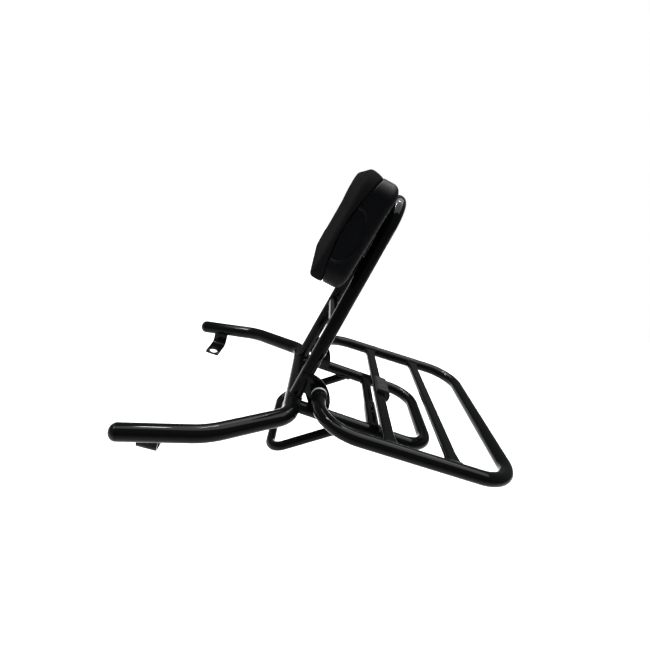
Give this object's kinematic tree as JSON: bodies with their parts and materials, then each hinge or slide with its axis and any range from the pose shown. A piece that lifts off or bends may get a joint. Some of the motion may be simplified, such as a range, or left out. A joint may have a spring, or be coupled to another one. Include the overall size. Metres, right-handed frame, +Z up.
{
  "type": "luggage rack with backrest",
  "caption": "Black tubular luggage rack for a motorbike tail, with a padded backrest on a leaning hoop and a fold-up rear carrier.",
  "frame": {"origin": "midway between the two holes, on the underside of the mounting tabs", "axes": "+X points to the rear, +Y to the right side along the line between the two holes, +Z up"},
  "size_m": [0.4329, 0.3458, 0.351],
  "materials": {
    "gloss_black_paint": "gloss",
    "black_cap": "gloss",
    "cushion_cover": "matte",
    "shell_plastic": "satin",
    "black_screw": "satin",
    "buffer_rubber": "matte",
    "bright_steel": "satin",
    "plain_bush": "matte"
  },
  "bodies": {
    "carrier": {"main_bar": "gloss_black_paint", "arm_cap_left": "black_cap", "arm_cap_right": "black_cap", "mounting_tab_left": "gloss_black_paint", "mounting_tab_right": "gloss_black_paint", "backrest_hoop": "gloss_black_paint", "backrest_cross_tube": "gloss_black_paint", "support_loop": "gloss_black_paint", "loop_cross_tube": "gloss_black_paint", "loop_sleeve": "gloss_black_paint", "lower_bracket": "gloss_black_paint", "hinge_plate_left": "gloss_black_paint", "hinge_plate_right": "gloss_black_paint", "hinge_bush_left": "plain_bush", "hinge_bush_right": "plain_bush", "pad_cushion": "cushion_cover", "pad_shell": "shell_plastic", "pad_strap_lower": "gloss_black_paint", "pad_strap_upper": "gloss_black_paint", "pad_screws": "black_screw"},
    "rack": {"rack_frame": "gloss_black_paint", "rack_crossbar_front": "gloss_black_paint", "rack_crossbar_rear": "gloss_black_paint", "rack_buffer": "buffer_rubber", "buffer_screws": "bright_steel", "rack_end_plug_left": "bright_steel", "rack_end_plug_right": "bright_steel", "hinge_bolt_left": "bright_steel", "hinge_bolt_right": "bright_steel", "hinge_washer_left": "bright_steel", "hinge_washer_right": "bright_steel", "hinge_collar_left": "gloss_black_paint", "hinge_collar_right": "gloss_black_paint"}
  },
  "joints": [
    {"name": "rack_fold", "type": "hinge", "parent": "carrier", "child": "rack", "pos_m": [0.1663, 0, 0.0828], "axis": [0, -1, 0], "range_deg": [0, 80]}
  ]
}
